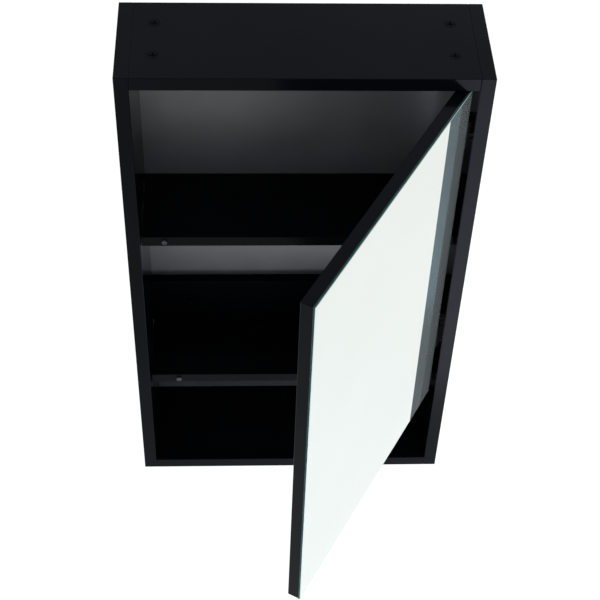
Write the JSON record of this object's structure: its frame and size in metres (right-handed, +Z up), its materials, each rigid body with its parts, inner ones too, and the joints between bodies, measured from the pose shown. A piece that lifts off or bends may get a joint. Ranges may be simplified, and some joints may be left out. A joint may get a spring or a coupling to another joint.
{
  "type": "mirrored medicine cabinet",
  "caption": "Wall-hung cabinet with an inset mirror door on concealed cup hinges, shelves behind the door and an open niche below it.",
  "frame": {"origin": "centre of the back panel's outer face, on the wall plane", "axes": "+X to the right seen from the front, +Y into the wall, +Z up"},
  "size_m": [0.45, 0.4963, 0.75],
  "materials": {
    "black_board": "satin laminate",
    "grey_back": "satin",
    "mirror": "polished",
    "hinge_steel": "nickel plated",
    "bright_steel": "zinc plated",
    "beech": "raw",
    "clear_button": "translucent"
  },
  "bodies": {
    "cabinet": {"left_side_panel": "black_board", "right_side_panel": "black_board", "top_panel": "black_board", "bottom_panel": "black_board", "back_panel": "grey_back", "upper_shelf": "black_board", "lower_shelf": "black_board", "upper_fixing_rail": "black_board", "lower_fixing_rail": "black_board", "cam_discs": "bright_steel", "cam_bolts": "bright_steel", "dowels": "beech", "shelf_supports": "bright_steel", "back_panel_screws": "bright_steel", "upper_door_bumper": "clear_button", "lower_door_bumper": "clear_button", "hinge_mounting_plates": "hinge_steel", "hinge_plate_screws": "bright_steel", "hinge_arms": "hinge_steel", "hinge_arm_screws": "bright_steel", "hinge_side_adjusters": "bright_steel", "hinge_arm_pins": "bright_steel"},
    "outer_links": {"outer_hinge_links": "hinge_steel"},
    "inner_links": {"inner_hinge_links": "hinge_steel"},
    "door": {"door_board": "black_board", "mirror_glass": "mirror", "hinge_cups": "hinge_steel", "hinge_cup_screws": "bright_steel", "hinge_cup_pins": "bright_steel"}
  },
  "joints": [
    {"name": "outer_link_swing", "type": "hinge", "parent": "cabinet", "child": "outer_links", "pos_m": [0.1586, -0.112, 0], "axis": [0, 0, 1], "range_deg": [-11.4, 23.1]},
    {"name": "door_swing", "type": "hinge", "parent": "outer_links", "child": "door", "pos_m": [0.18003, -0.14438, 0], "axis": [0, 0, 1], "range_deg": [-83.36, 41.06]},
    {"name": "inner_link_swing", "type": "hinge", "parent": "cabinet", "child": "inner_links", "pos_m": [0.1616, -0.1237, 0], "axis": [0, 0, 1], "range_deg": [-8.05, 16.3]}
  ],
  "couplings": [
    {"joint": "outer_link_swing", "follows": "door_swing", "ratio": -0.27662},
    {"joint": "inner_link_swing", "follows": "door_swing", "ratio": -0.19473}
  ]
}
